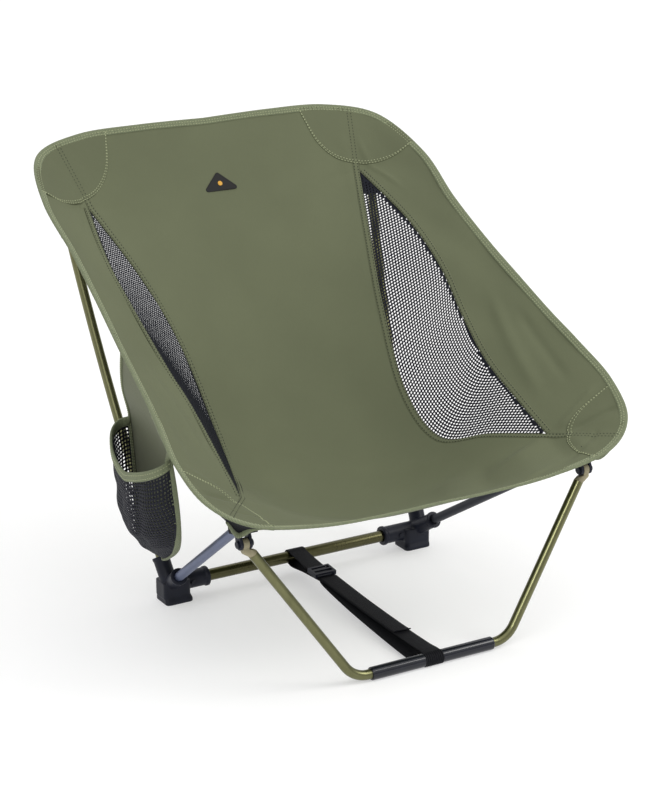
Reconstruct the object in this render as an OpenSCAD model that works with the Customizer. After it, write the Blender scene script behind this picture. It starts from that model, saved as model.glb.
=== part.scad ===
// Ultralight backpacking chair: a fabric bucket seat slung on a ground-level pole frame.
// Millimetres, +Z up, the sitter faces -Y, origin under the middle of the chair on the ground.

/* [Frame tubes] */
// Outside diameter of the poles, struts and front leg
tube_d = 12.7; // [12:0.1:13.5]
// Wall of those tubes
tube_wall = 0.9; // [0.8:0.1:1.2]
// Outside diameter of the crossbar between the hubs
crossbar_d = 16; // [15.5:0.1:17]
// Height of the crossbar's axis above the ground
crossbar_z = 23; // [22:1:26]
// Half of the distance between the two rear pole bases
pole_base_x = 197; // [195:1:199]
// How far the rear poles bow backward under the fabric's pull
pole_bow = 14.7; // [13:0.1:17]

/* [Front leg] */
// Half length of the ground bar, to the virtual corner of its bend
bar_half = 113.6; // [110:0.2:116]
// Angle of the leg's sides above the ground bar, seen from the front
leg_angle = 56; // [54:0.5:58]
// How far the leg leans backward at rest
leg_lean = 8.5; // [7:0.5:10]
// Centreline radius of the leg's bends
bend_r = 38; // [34:1:42]
// Outside diameter of the moulded ground sleeve
sleeve_d = 17; // [16:0.5:18]

/* [Fabric] */
// Thickness of the seat fabric
fabric_t = 1.2; // [1:0.1:1.6]
// Width of the tape folded over the seat's edge
tape_w = 9; // [8:0.5:11]
// Width of the strap between the crossbar and the ground bar
strap_w = 25; // [20:1:30]

/* [Hidden] */

$fn = 48;
tube_r = tube_d / 2;
bore_r = tube_r - tube_wall;
ferrule_r = bore_r - 0.25;
cord_r = 1.5;
olive = [0.44, 0.46, 0.36];
olive_metal = [0.47, 0.45, 0.30];
nylon = [0.12, 0.13, 0.17];
webbing = [0.08, 0.09, 0.11];

// ---- Small helpers -------------------------------------------------------

function unit(v) = v / norm(v);
function mix(a, b, t) = a + (b - a) * t;
function flip(p) = [-p[0], p[1], p[2]];

// Point at parameter t on a Catmull-Rom curve through the knots P
function curve(P, t) =
    let (n = len(P) - 1, i = min(max(floor(t), 0), n - 1), u = t - i,
         a = P[max(i - 1, 0)], b = P[i], c = P[i + 1], d = P[min(i + 2, n)])
    0.5 * (2 * b + (c - a) * u + (2 * a - 5 * b + 4 * c - d) * u * u
        + (3 * b - a - 3 * c + d) * u * u * u);

// Point at t of the cubic from a to b with end tangents ta and tb
function hermite(a, ta, b, tb, t) =
    a * (2 * t * t * t - 3 * t * t + 1) + ta * (t * t * t - 2 * t * t + t)
    + b * (3 * t * t - 2 * t * t * t) + tb * (t * t * t - t * t);

// Both sides of the chair: side is 1 on the right, -1 on the left
module on_side(side) {
    if (side > 0) children();
    else mirror([1, 0, 0]) children();
}

// Puts +Z along the line from a to b
module along(a, b) {
    d = b - a;
    translate(a) rotate([0, acos(d[2] / norm(d)), atan2(d[1], d[0])]) children();
}

module tube(length, outer, inner) {
    difference() {
        cylinder(h = length, r = outer);
        translate([0, 0, -1]) cylinder(h = length + 2, r = inner);
    }
}

// Solid between equal rings of points, with flat ends or joined into a loop
module skin(rings, closed = false) {
    n = len(rings);
    m = len(rings[0]);
    last = closed ? n : n - 1;
    sides = [for (i = [0 : last - 1], j = [0 : m - 1])
        [i * m + j, i * m + (j + 1) % m, ((i + 1) % n) * m + (j + 1) % m, ((i + 1) % n) * m + j]];
    caps = closed ? [] : [[for (j = [m - 1 : -1 : 0]) j], [for (j = [0 : m - 1]) (n - 1) * m + j]];
    polyhedron(points = [for (ring = rings) for (p = ring) p], faces = concat(sides, caps), convexity = 8);
}

// Thin solid between two grids of points that face each other
module shell(top, bottom) {
    n = len(top);
    m = len(top[0]);
    quads = [for (i = [0 : n - 2], j = [0 : m - 2])
        [i * m + j, i * m + j + 1, (i + 1) * m + j + 1, (i + 1) * m + j]];
    halves = [for (q = quads) each [[q[0], q[1], q[2]], [q[0], q[2], q[3]]]];
    under = [for (f = halves) [f[2] + n * m, f[1] + n * m, f[0] + n * m]];
    rim = concat([for (j = [0 : m - 2]) [j, j + 1]], [for (i = [0 : n - 2]) [i * m + m - 1, (i + 1) * m + m - 1]],
        [for (j = [m - 1 : -1 : 1]) [(n - 1) * m + j, (n - 1) * m + j - 1]],
        [for (i = [n - 1 : -1 : 1]) [i * m, (i - 1) * m]]);
    walls = [for (e = rim) each [[e[1], e[0], e[0] + n * m], [e[1], e[0] + n * m, e[1] + n * m]]];
    polyhedron(points = concat([for (row = top) for (p = row) p], [for (row = bottom) for (p = row) p]),
        faces = concat(halves, under, walls), convexity = 8);
}

// ---- Rear frame ----------------------------------------------------------

crossbar_y = 56;
hub_inner_x = 137;
pole_base = [pole_base_x, crossbar_y + 2, 40];
pole_tip = [237.7, 257.8, 508];
strut_base = [195, 33, 38];
strut_end = [248, -251, 222];
strut_dir = unit(strut_end - strut_base);
strut_length = 329;
strut_joint = 196;
strut_stop = strut_base + strut_dir * strut_length;
socket_depth = 22;

pole_chord = norm(pole_tip - pole_base);
pole_radius = pole_chord * pole_chord / (8 * pole_bow) + pole_bow / 2;
pole_half = asin(pole_chord / 2 / pole_radius);
pole_out = asin((pole_tip[0] - pole_base[0]) / pole_chord);
pole_back = atan2(pole_tip[1] - pole_base[1], pole_tip[2] - pole_base[2]);
pole_joint = -0.4;
degrees_per_mm = 180 / (PI * pole_radius);

// The rear pole's own frame: an arc in the local YZ plane, base at the origin, bowed toward +Y
module pole_frame() {
    translate(pole_base) rotate([-pole_back, 0, 0]) rotate([0, pole_out, 0]) children();
}

// Stretch of the rear pole's arc between two angles, hollow if inner is over 0
module pole_arc(from, to, outer, inner = 0) {
    pole_frame()
        translate([0, pole_bow - pole_radius, pole_chord / 2])
            rotate([90, 0, 90]) rotate([0, 0, from])
                rotate_extrude(angle = to - from, $fn = 720)
                    translate([pole_radius, 0]) difference() {
                        circle(r = outer, $fn = 32);
                        if (inner > 0) circle(r = inner, $fn = 32);
                    }
}

// Puts +Z along the rear pole at one angle of its arc
module at_pole(angle) {
    pole_frame()
        translate([0, pole_bow - pole_radius, pole_chord / 2])
            rotate([angle, 0, 0]) translate([0, pole_radius, 0]) children();
}

module crossbar() {
    color(olive_metal * 0.8)
        translate([-hub_inner_x - 40, crossbar_y, crossbar_z]) rotate([0, 90, 0])
            difference() {
                cylinder(h = 2 * hub_inner_x + 80, d = crossbar_d);
                translate([0, 0, -1]) cylinder(h = 2 * hub_inner_x + 82, d = crossbar_d - 2.4);
                for (z = [14, 2 * hub_inner_x + 66])
                    translate([0, 0, z]) rotate([90, 0, 0]) translate([0, 0, -12]) cylinder(h = 24, r = 2, $fn = 24);
            }
}

module crossbar_rivets() {
    color("silver")
        for (side = [-1, 1])
            translate([side * (hub_inner_x + 26), crossbar_y, crossbar_z]) rotate([90, 0, 0]) {
                translate([0, 0, -12.4]) cylinder(h = 24.8, r = 2, $fn = 24);
                for (end = [-1, 1])
                    translate([0, 0, end * 13 - 0.8]) cylinder(h = 1.6, r = 3.6, $fn = 24);
            }
}

hub_collar_r = 12.2;
hub_socket_r = 11.2;

// Moulded hub: a collar for the crossbar, a leaned socket for the rear pole, a socket for the strut and a foot
module hub() {
    color(nylon) difference() {
        union() {
            translate([hub_inner_x, crossbar_y, crossbar_z]) rotate([0, 90, 0]) {
                cylinder(h = 52, r = hub_collar_r);
                cylinder(h = 5, r = hub_collar_r + 1.3);
            }
            at_pole(-pole_half) translate([0, 0, -22]) {
                cylinder(h = 44, r = hub_socket_r);
                translate([0, 0, 40]) cylinder(h = 4, r = hub_socket_r + 0.9);
            }
            along(strut_base - strut_dir * 24, strut_base) {
                cylinder(h = 46, r = hub_socket_r - 0.6);
                translate([0, 0, 42]) cylinder(h = 4, r = hub_socket_r + 0.4);
            }
            hull() {
                for (x = [174, 203]) for (y = [-12, 9])
                    translate([x, crossbar_y + y, 8]) cylinder(h = 22, r = 5, $fn = 32);
            }
            hull() {
                for (x = [172, 202]) for (y = [-15, 10])
                    translate([x, crossbar_y + y, 0]) cylinder(h = 4, r = 5, $fn = 32);
                for (x = [174, 202]) for (y = [-12, 9])
                    translate([x, crossbar_y + y, 9]) cylinder(h = 1, r = 5, $fn = 32);
            }
        }
        translate([hub_inner_x - 1, crossbar_y, crossbar_z]) rotate([0, 90, 0])
            cylinder(h = 41, d = crossbar_d);
        at_pole(-pole_half) cylinder(h = 30, r = tube_r);
        along(strut_base, strut_end) translate([0, 0, -0.2]) cylinder(h = 30, r = tube_r);
        translate([hub_inner_x + 26, crossbar_y, crossbar_z]) rotate([90, 0, 0])
            translate([0, 0, -20]) cylinder(h = 40, r = 2, $fn = 24);
    }
}

module rear_pole_lower() {
    color(olive_metal) pole_arc(-pole_half, pole_joint, tube_r, bore_r);
}

module rear_pole_upper() {
    color(olive_metal) pole_arc(pole_joint, pole_half, tube_r, bore_r);
}

module rear_ferrule() {
    color("silver")
        pole_arc(pole_joint - 38 * degrees_per_mm, pole_joint + 38 * degrees_per_mm, ferrule_r, ferrule_r - 0.8);
}

// Rounded plug in the top end of the rear pole
module pole_tip() {
    color(nylon) at_pole(pole_half) {
        translate([0, 0, -14]) cylinder(h = 14, r = bore_r);
        rotate_extrude() polygon([[0, 0], [7, 0], [7, 5], for (a = [0 : 15 : 90]) [7 * cos(a), 5 + 4 * sin(a)]]);
    }
}

module rear_cord() {
    color("white")
        pole_arc(-pole_half + 1 * degrees_per_mm, pole_half - 15 * degrees_per_mm, cord_r);
}

// ---- Struts and front connectors -----------------------------------------

module strut_piece(from, to, outer, inner) {
    along(strut_base, strut_end) translate([0, 0, from]) tube(to - from, outer, inner);
}

module strut_lower() {
    color(nylon * 2.4) strut_piece(0, strut_joint, tube_r, bore_r);
}

module strut_upper() {
    color(nylon * 2.4) strut_piece(strut_joint, strut_length, tube_r, bore_r);
}

module strut_ferrule() {
    color("silver") strut_piece(strut_joint - 38, strut_joint + 38, bore_r - 0.05, bore_r - 0.9);
}

module strut_cord() {
    color("white") along(strut_base, strut_end) translate([0, 0, 1]) cylinder(h = strut_length - 20, r = cord_r, $fn = 24);
}

bar_y = -292.6;
bar_z = sleeve_d / 2;
leg_length = 240;
bend_tangent = bend_r * tan(leg_angle / 2);
pivot = [bar_half + leg_length * cos(leg_angle),
    bar_y + leg_length * sin(leg_angle) * sin(leg_lean),
    bar_z + leg_length * sin(leg_angle) * cos(leg_lean)];
pin_r = 2.5;
eye_r = 7.2;
eye_half = 4;
ear_gap = 0.25;
ear_t = 4;

// Nose that plugs the strut and carries two ears for the leg's hinge pin
module connector() {
    nose = strut_stop + strut_dir * 22;
    color("tan") difference() {
        union() {
            along(strut_stop - strut_dir * 18, nose) cylinder(h = 20, r = bore_r);
            along(strut_stop, nose) {
                cylinder(h = 22, r = 7.6);
                translate([0, 0, 22]) sphere(r = 7.6, $fn = 32);
            }
            for (side = [-1, 1])
                hull() {
                    translate([pivot[0] + side * (eye_half + ear_gap + ear_t / 2) - ear_t / 2, pivot[1], pivot[2]])
                        rotate([0, 90, 0]) cylinder(h = ear_t, r = eye_r, $fn = 32);
                    translate([pivot[0] + side * (eye_half + ear_gap + ear_t / 2) - ear_t / 2,
                        pivot[1] + 5, pivot[2] + 17]) rotate([0, 90, 0]) cylinder(h = ear_t, r = 5, $fn = 32);
                }
            hull()
                for (side = [-1, 1])
                    translate([pivot[0] + side * (eye_half + ear_gap + ear_t / 2) - ear_t / 2,
                        pivot[1] + 5, pivot[2] + 17]) rotate([0, 90, 0]) cylinder(h = ear_t, r = 5, $fn = 32);
        }
        translate([pivot[0] - 20, pivot[1], pivot[2]]) rotate([0, 90, 0]) cylinder(h = 40, r = pin_r, $fn = 32);
        translate([pivot[0] - eye_half - ear_gap, pivot[1], pivot[2]]) rotate([0, 90, 0])
            cylinder(h = 2 * (eye_half + ear_gap), r = eye_r + 1.2);
    }
}

module hinge_pin() {
    half = eye_half + ear_gap + ear_t + 0.8;
    color("silver") translate([pivot[0] - half, pivot[1], pivot[2]]) rotate([0, 90, 0]) {
        cylinder(h = 2 * half, r = pin_r, $fn = 32);
        for (z = [-1.6, 2 * half])
            translate([0, 0, z]) cylinder(h = 1.6, r = 4.4, $fn = 32);
    }
}

module pin_washers() {
    half = eye_half + ear_gap + ear_t;
    color("black")
        for (side = [-1, 1])
            for (end = [-half - 0.8, half])
                translate([side * pivot[0] + end, pivot[1], pivot[2]]) rotate([0, 90, 0])
                    tube(0.8, 5.4, pin_r);
}

// ---- Front leg -----------------------------------------------------------

// The leg's own plane: X along the ground bar, Z up the leaned plane of the leg
module leg_frame() {
    translate([0, bar_y, bar_z]) rotate([-leg_lean, 0, 0]) children();
}

// Puts +Z up the leg's side tube, at the bend's virtual corner
module up_leg() {
    leg_frame() translate([bar_half, 0, 0]) rotate([0, 90 - leg_angle, 0]) children();
}

leg_stop = leg_length - 18;

module leg() {
    color(olive_metal)
        leg_frame() translate([bar_half - bend_tangent, 0, bend_r]) rotate([90, 0, 0]) difference() {
            bent_rod(tube_r, leg_stop - bend_tangent, 0);
            bent_rod(bore_r, leg_stop - bend_tangent, 1);
        }
}

// Ground bar half, bend and side in one, about the bend's centre; extra lengthens both ends
module bent_rod(r, side_length, extra) {
    rotate([0, 0, -90]) {
        translate([bend_r, 0, 0]) rotate([90, 0, 0]) cylinder(h = bar_half - bend_tangent + extra, r = r);
        rotate_extrude(angle = leg_angle, $fn = 180) translate([bend_r, 0]) circle(r = r, $fn = 48);
        for (end = [0, leg_angle])
            rotate([0, 0, end]) translate([bend_r, 2, 0]) rotate([90, 0, 0]) cylinder(h = 4, r = r - 0.2);
        rotate([0, 0, leg_angle]) translate([bend_r, 0, 0]) rotate([-90, 0, 0])
            cylinder(h = side_length + extra, r = r);
    }
}

// The knuckle is as thin as its eye within this radius of the pin, clear of the ears at every angle
tang_r = 9;

// Moulded end of the leg: a plug in the tube and a flat eye on the hinge pin
module leg_knuckle() {
    color("tan") difference() {
        union() {
            up_leg() {
                translate([0, 0, leg_stop - 22]) cylinder(h = 22, r = bore_r);
                translate([0, 0, leg_stop]) cylinder(h = 1.5, r = tube_r);
            }
            hull() {
                up_leg() translate([0, 0, leg_stop + 0.5]) cylinder(h = 1, r = tube_r - 0.4, $fn = 32);
                leg_eye(5, -7);
            }
            leg_eye(eye_r, 0);
        }
        translate([pivot[0] - 30, pivot[1], pivot[2]]) rotate([0, 90, 0])
            cylinder(h = 60, r = pin_r + 0.06, $fn = 32);
        for (x = [-eye_half - 20, eye_half])
            translate([pivot[0] + x, pivot[1], pivot[2]]) rotate([0, 90, 0]) cylinder(h = 20, r = tang_r);
    }
}

module leg_eye(r, drop) {
    leg_frame() translate([pivot[0] - eye_half, 0, leg_length * sin(leg_angle) + drop]) rotate([0, 90, 0])
        cylinder(h = 2 * eye_half, r = r, $fn = 32);
}

module leg_ferrule() {
    color("silver") translate([-45, bar_y, bar_z]) rotate([0, 90, 0]) tube(90, bore_r - 0.05, bore_r - 0.9);
}

module leg_cord() {
    color("white") translate([-bar_half + 24, bar_y, bar_z]) rotate([0, 90, 0])
        cylinder(h = 2 * bar_half - 48, r = cord_r, $fn = 24);
}

sleeve_half = 90;
waist_r = 7.1;

// Moulded sleeve that guards the ground bar, with a waist for the strap's loop
module ground_sleeve() {
    color(nylon) translate([0, bar_y, bar_z]) rotate([0, 90, 0]) difference() {
        translate([0, 0, -sleeve_half])
            rotate_extrude() polygon([[0, 0], [bar_z - 0.8, 0], [bar_z, 1.2], [bar_z, sleeve_half - strap_w / 2 - 1],
                [waist_r, sleeve_half - strap_w / 2 - 1], [waist_r, sleeve_half + strap_w / 2 + 1],
                [bar_z, sleeve_half + strap_w / 2 + 1], [bar_z, 2 * sleeve_half - 1.2],
                [bar_z - 0.8, 2 * sleeve_half], [0, 2 * sleeve_half]]);
        translate([0, 0, -sleeve_half - 1]) cylinder(h = 2 * sleeve_half + 2, r = tube_r);
    }
}

// ---- Strap ---------------------------------------------------------------

strap_t = 1.2;
strap_rear = [0, crossbar_y - 3, crossbar_z + crossbar_d / 2 + 0.1];
strap_front = [0, bar_y + 2, bar_z + waist_r + 0.1];
strap_sag = 20;

function strap_point(t) = mix(strap_front, strap_rear, t) - [0, 0, strap_sag * t * (1 - t)];

module strap() {
    color(webbing) {
        for (loop = [[crossbar_y, crossbar_z, crossbar_d / 2], [bar_y, bar_z, waist_r]])
            translate([-strap_w / 2, loop[0], loop[1]]) rotate([0, 90, 0])
                tube(strap_w, loop[2] + strap_t + 0.05, loop[2] + 0.05);
        skin([for (t = [0 : 0.05 : 1])
            let (p = strap_point(t))
            [p + [-strap_w / 2, 0, 0], p + [strap_w / 2, 0, 0],
             p + [strap_w / 2, 0, strap_t], p + [-strap_w / 2, 0, strap_t]]]);
    }
}

slider_at = 0.8;

// Ladder-lock buckle that rides on the strap
module strap_slider() {
    tilt = atan2(strap_rear[2] - strap_front[2] + strap_sag * (2 * slider_at - 1), strap_rear[1] - strap_front[1]);
    color(nylon) translate(strap_point(slider_at) + [0, 0, strap_t / 2]) rotate([tilt, 0, 0]) difference() {
        translate([-16, -11, -3.2]) cube([32, 22, 6.4]);
        translate([-strap_w / 2 - 0.6, -12, -1.1]) cube([strap_w + 1.2, 24, 2.2]);
        for (y = [-7.5, 1.5])
            translate([-strap_w / 2 - 0.6, y, 0]) cube([strap_w + 1.2, 6, 5]);
    }
}

// ---- Seat shape --------------------------------------------------------
// Nine cross-sections run from the top edge to the front edge. Each column below is one line down the
// right half of the seat: the middle, halfway out, the two sides of the mesh panel, and the seat's edge.

middle = [[0, 308, 584], [0, 246, 493], [0, 176, 393], [0, 106, 301], [0, 36, 218], [0, -34, 161],
    [0, -119, 148], [0, -204, 172], [0, -300, 220]];
halfway = [[123, 307, 585], [105, 244, 495], [90, 171, 401], [78, 100, 312], [74, 32, 229], [76, -38, 173],
    [95, -123, 168], [112, -206, 190], [125, -305, 223]];
mesh_inner = [[209, 237, 499], [178, 154, 424], [156, 83, 346], [146, 10, 252], [155, -64, 205],
    [189, -135, 225], [224, -210, 242]];
mesh_outer = [[209, 237, 499], [227, 137, 449], [228, 54, 401], [221, -14, 349], [215, -80, 307],
    [219, -145, 273], [224, -210, 242]];
edge_knots = [[0, 308, 584], [100, 307, 586], [190, 306, 583],
    [262, 277, 567], [289, 196, 526], [288, 116, 479], [292, 36, 435], [298, -34, 399], [303, -99, 367],
    [309, -159, 339], [316, -222, 305], [303, -277, 270],
    [255, -305, 243], [170, -307, 227], [85, -303, 221], [0, -300, 220]];
rows = 8;
// Where along the edge the seams end, and where its straight side starts and ends
seam_top = 2.5;
side_start = 3;
side_end = side_start + rows;
seam_front = 11.45;
edge_end = len(edge_knots) - 1;

function edge(t) = t < 0 ? flip(edge(-t)) : curve(edge_knots, t);
function inner_seam(v) =
    v <= 1 ? mix(edge(seam_top), mesh_inner[0], v)
    : v >= rows - 1 ? mix(mesh_inner[rows - 2], edge(seam_front), v - rows + 1)
    : curve(mesh_inner, v - 1);
function outer_seam(v) = v <= 1 || v >= rows - 1 ? inner_seam(v) : curve(mesh_outer, v - 1);

// Point of one cross-section: s is 0 in the middle, 1 at the seam and 2 at the edge
function cross_section(s, v) =
    let (c = curve(middle, v), m = curve(halfway, v), a = inner_seam(v), b = outer_seam(v), e = edge(side_start + v),
         turn = unit(unit(a - m) + unit(e - b)))
    s <= 0.5 ? hermite(c, [m[0], 0, 0], m, (a - c) / 2, 2 * s)
    : s <= 1 ? hermite(m, (a - c) / 2, a, turn * norm(a - m), 2 * s - 1)
    : hermite(b, turn * norm(e - b), e, e - b, s - 1);

// Where the top edge (v = 0) or front edge (v = rows) lies for the same s
function top_edge(s) = edge(s <= 1 ? s * seam_top : mix(seam_top, side_start, s - 1));
function front_edge(s) = edge(s <= 1 ? mix(edge_end, seam_front, s) : mix(seam_front, side_end, s - 1));

// Point of the seat's top face
function seat_at(s, v) =
    s < 0 ? flip(seat_at(-s, v))
    : v < 1 ? cross_section(s, v) + (1 - v) * (1 - v) * (top_edge(s) - cross_section(s, 0))
    : v > rows - 1 ? cross_section(s, v) + (v - rows + 1) * (v - rows + 1) * (front_edge(s) - cross_section(s, rows))
    : cross_section(s, v);

// Unit normal of the seat, away from the sitter's underside
function upward(s, v) =
    s < 0 ? flip(upward(-s, v))
    : let (s0 = min(max(s, 0.01), 1.97), v0 = min(max(v, 0.04), rows - 0.04), h = 0.01,
           side = s0 >= 1 ? seat_at(s0 + h, v0) - seat_at(s0, v0) : seat_at(s0, v0) - seat_at(s0 - h, v0))
    unit(cross(side, seat_at(s0, v0 - h) - seat_at(s0, v0 + h)));

function mesh_point(m, v) = mix(inner_seam(v), outer_seam(v), m);
function mesh_upward(v) = unit(upward(0.999, v) + upward(1.001, v));

module seat_center() {
    us = [for (i = [-11 : 11]) i / 11];
    vs = [for (i = [0 : 32]) i * rows / 32];
    color(olive) shell([for (v = vs) [for (u = us) seat_at(u, v)]],
        [for (v = vs) [for (u = us) seat_at(u, v) - fabric_t * upward(u, v)]]);
}

module seat_side() {
    us = [for (i = [0 : 5]) 1 + i / 5];
    vs = [for (i = [0 : 32]) i * rows / 32];
    color(olive) shell([for (v = vs) [for (u = us) seat_at(max(u, 1.0001), v)]],
        [for (v = vs) [for (u = us) seat_at(max(u, 1.0001), v) - fabric_t * upward(max(u, 1.0001), v)]]);
}

module mesh_panel() {
    ms = [0, 0.25, 0.5, 0.75, 1];
    vs = [for (i = [0 : 26]) 1.12 + i * (rows - 2.24) / 26];
    color("dimgray") shell([for (v = vs) [for (m = ms) mesh_point(m, v)]],
        [for (v = vs) [for (m = ms) mesh_point(m, v) - 0.8 * mesh_upward(v)]]);
}

// The (s, v) place of the edge at t
function edge_place(t) =
    t <= seam_top ? [t / seam_top, 0]
    : t <= side_start ? [1 + (t - seam_top) / (side_start - seam_top), 0]
    : t <= side_end ? [2, t - side_start]
    : t <= seam_front ? [2 - (t - side_end) / (seam_front - side_end), rows]
    : [(edge_end - t) / (edge_end - seam_front), rows];

function tape_ring(t) =
    let (p = edge(t), place = edge_place(t), up = upward(place[0], place[1]),
         ahead = unit(edge(min(t + 0.03, edge_end)) - edge(t < 0.03 ? -0.03 : t - 0.03)),
         inward = unit(cross(ahead, up)), high = 0.7, low = fabric_t + 0.7)
    [p - inward + high * up, p - inward - low * up, p + (tape_w - 1) * inward - low * up,
     p + (tape_w - 1) * inward + high * up];

module seat_edge_tape() {
    right = [for (i = [0 : 75]) tape_ring(i / 5)];
    left = [for (i = [74 : -1 : 1]) [for (p = tape_ring(i / 5)) flip(p)]];
    color(olive * 1.15) skin(concat(right, left), closed = true);
}

// Half-moon of fabric between a stretch of the edge and an arc through three (s, v) places
module corner_patch(from, to, a, k, b) {
    ts = [for (i = [0 : 14]) i / 14];
    places = [for (t = ts)
        let (outer = edge_place(mix(from, to, t)),
             arc = a * (1 - t) * (1 - 2 * t) + 4 * k * t * (1 - t) + b * t * (2 * t - 1))
        [for (j = [0 : 5]) mix(arc, outer, 0.02 + 0.96 * j / 5)]];
    color(olive) shell(
        [for (row = places) [for (q = row) seat_at(q[0], q[1]) + 0.9 * upward(q[0], q[1])]],
        [for (row = places) [for (q = row) seat_at(q[0], q[1]) + 0.1 * upward(q[0], q[1])]]);
}

module top_patches() {
    for (side = [-1, 1]) on_side(side)
        corner_patch(1.5, 3.75, [0.6, 0], [1.02, 0.92], [2, 0.75]);
}

module front_patches() {
    for (side = [-1, 1]) on_side(side)
        corner_patch(10.1, 12.8, [2, 7.1], [1.0, 7.12], [0.62, 8]);
}

// ---- Pockets under the seat's corners ------------------------------------

lift_angle = pole_back - pole_half;
pocket_turn = -30;

// Flat sleeve, open below, over the rear pole's tip
module top_pocket() {
    color(webbing) at_pole(pole_half) rotate([0, 0, pocket_turn]) difference() {
        translate([0, 0, -48]) pocket_block(66, 18.2, 10.8);
        translate([0, 0, -49]) pocket_block(60.3, 17, 9.6);
    }
}

// Rounded slot outline raised along Z
module pocket_block(height, half_w, half_d) {
    linear_extrude(height) {
        translate([-half_w + half_d, -half_d]) square([2 * (half_w - half_d), 2 * half_d]);
        for (side = [-1, 1]) translate([side * (half_w - half_d), 0]) circle(r = half_d, $fn = 32);
    }
}

// Cap over the front connector's nose, open below and behind, wider on the side where the strut comes in
module front_pocket() {
    nose = strut_stop + strut_dir * 22;
    color(webbing) translate(nose) rotate([-lift_angle, 0, 0]) difference() {
        translate([-13.4, -17, -9]) cube([22.9, 34, 19]);
        translate([-12.2, -15.8, -10]) cube([20.5, 34, 18.8]);
    }
}

// Small woven label: a plain rounded triangle
module badge() {
    place = [-0.02, 0.88];
    face = upward(place[0], place[1]);
    color("black") translate(seat_at(place[0], place[1]) + 0.1 * face)
        rotate([0, acos(face[2]), atan2(face[1], face[0])]) rotate([0, 0, 90])
            linear_extrude(0.9) offset(r = 3.5, $fn = 24) polygon([[-20, -8], [20, -8], [0, 10]]);
}

// ---- Side pocket, on the left of the chair -------------------------------

panel_back = [[-299, -46, 393], [-282, -8, 335], [-258, 23, 280], [-246, 36, 196], [-239, 43, 114], [-212, 44, 80]];
panel_front = [[-303, -119, 358], [-299, -150, 320], [-287, -152, 283], [-272, -140, 205], [-250, -92, 140],
    [-216, 14, 78]];
outward = unit([-0.96, 0.17, -0.21]);
rim_row = 2;
last_row = 5;
pouch_depth = [[0, 45], [0.6, 48], [1, 47], [1.35, 43], [1.7, 33], [2, 21], [2.5, 10], [3, 0]];

function panel_point(a, b) = mix(curve(panel_back, b), curve(panel_front, b), a);

// The pouch fans out from the panel toward both sides, and its rim sags at the front corner
function pouch_point(a, b) =
    let (down = b - rim_row, fan = unit([-0.8, 0.42 + 0.7 * (1 - 2 * a), -0.38]),
         depth = lookup(down, pouch_depth) * sqrt(max(0, sin(180 * a))),
         sag = 14 * max(0, 1 - abs(a - 0.66) / 0.34) * max(0, 1 - down / 1.5))
    panel_point(a, b) + 2 * outward + depth * fan - [0, 0, sag];

module side_pocket_panel() {
    as = [for (i = [0 : 8]) i / 8];
    bs = [for (i = [0 : 20]) 0.06 + i * (last_row - 0.06) / 20];
    color(olive) shell([for (b = bs) [for (a = as) panel_point(a, b)]],
        [for (b = bs) [for (a = as) panel_point(a, b) - 1 * outward]]);
}

// Direction the net faces at a point of the pouch
function pouch_facing(a, b) =
    let (h = 0.02, path = pouch_point(min(1, a + h), b) - pouch_point(max(0, a - h), b),
         fall = pouch_point(a, min(last_row, b + h)) - pouch_point(a, max(rim_row, b - h)))
    unit(cross(fall, path));

module side_pocket_mesh() {
    as = [for (i = [0 : 12]) i / 12];
    bs = [for (i = [0 : 14]) rim_row + i * (last_row - rim_row) / 14];
    color("dimgray") shell([for (b = bs) [for (a = as) pouch_point(a, b) + 0.8 * pouch_facing(a, b)]],
        [for (b = bs) [for (a = as) pouch_point(a, b)]]);
}

module side_pocket_rim() {
    color(olive * 1.15) skin([for (i = [0 : 24])
        let (a = i / 24, p = pouch_point(a, rim_row), n = pouch_facing(a, rim_row))
        [p + [0, 0, 1] - 0.6 * n, p + [0, 0, 1] + 1.6 * n, p - [0, 0, 11] + 1.6 * n, p - [0, 0, 11] - 0.6 * n]]);
}

module side_pocket_tape() {
    color(olive * 1.15)
        for (a = [0, 1])
            skin([for (i = [0 : 24])
                let (b = 0.1 + i * (last_row - 0.1) / 24, p = panel_point(a, b),
                     across = unit(panel_point(1 - a, b) - p),
                     top = p + outward, under = p - 2 * outward,
                     ring = [top - 0.6 * across, top + 7 * across, under + 7 * across, under - 0.6 * across])
                a > 0 ? ring : [for (j = [3 : -1 : 0]) ring[j]]]);
}

// Webbing loop round the rear pole, with the tab that the pocket's tail hooks on
module side_pocket_loop() {
    at = 36;
    tail = [213, 45, 81];
    ring = pole_base + [0.08, 0.49, 0.87] * at;
    color(webbing) mirror([1, 0, 0]) difference() {
        union() {
            at_pole(-pole_half + at * degrees_per_mm) translate([0, 0, -6]) cylinder(h = 12, r = 8.4);
            along(ring, tail) translate([-0.6, -5, 0]) cube([1.2, 10, 26]);
        }
        at_pole(-pole_half + at * degrees_per_mm) translate([0, 0, -20]) cylinder(h = 40, r = 7.2);
    }
}

crossbar();
crossbar_rivets();
on_side(-1) hub();  // hub_left
on_side(1) hub();  // hub_right
on_side(-1) rear_pole_lower();  // rear_pole_lower_left
on_side(1) rear_pole_lower();  // rear_pole_lower_right
on_side(-1) rear_pole_upper();  // rear_pole_upper_left
on_side(1) rear_pole_upper();  // rear_pole_upper_right
on_side(-1) rear_ferrule();  // rear_ferrule_left
on_side(1) rear_ferrule();  // rear_ferrule_right
on_side(-1) pole_tip();  // pole_tip_left
on_side(1) pole_tip();  // pole_tip_right
on_side(-1) rear_cord();  // rear_cord_left
on_side(1) rear_cord();  // rear_cord_right
on_side(-1) strut_lower();  // strut_lower_left
on_side(1) strut_lower();  // strut_lower_right
on_side(-1) strut_upper();  // strut_upper_left
on_side(1) strut_upper();  // strut_upper_right
on_side(-1) strut_ferrule();  // strut_ferrule_left
on_side(1) strut_ferrule();  // strut_ferrule_right
on_side(-1) strut_cord();  // strut_cord_left
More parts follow.
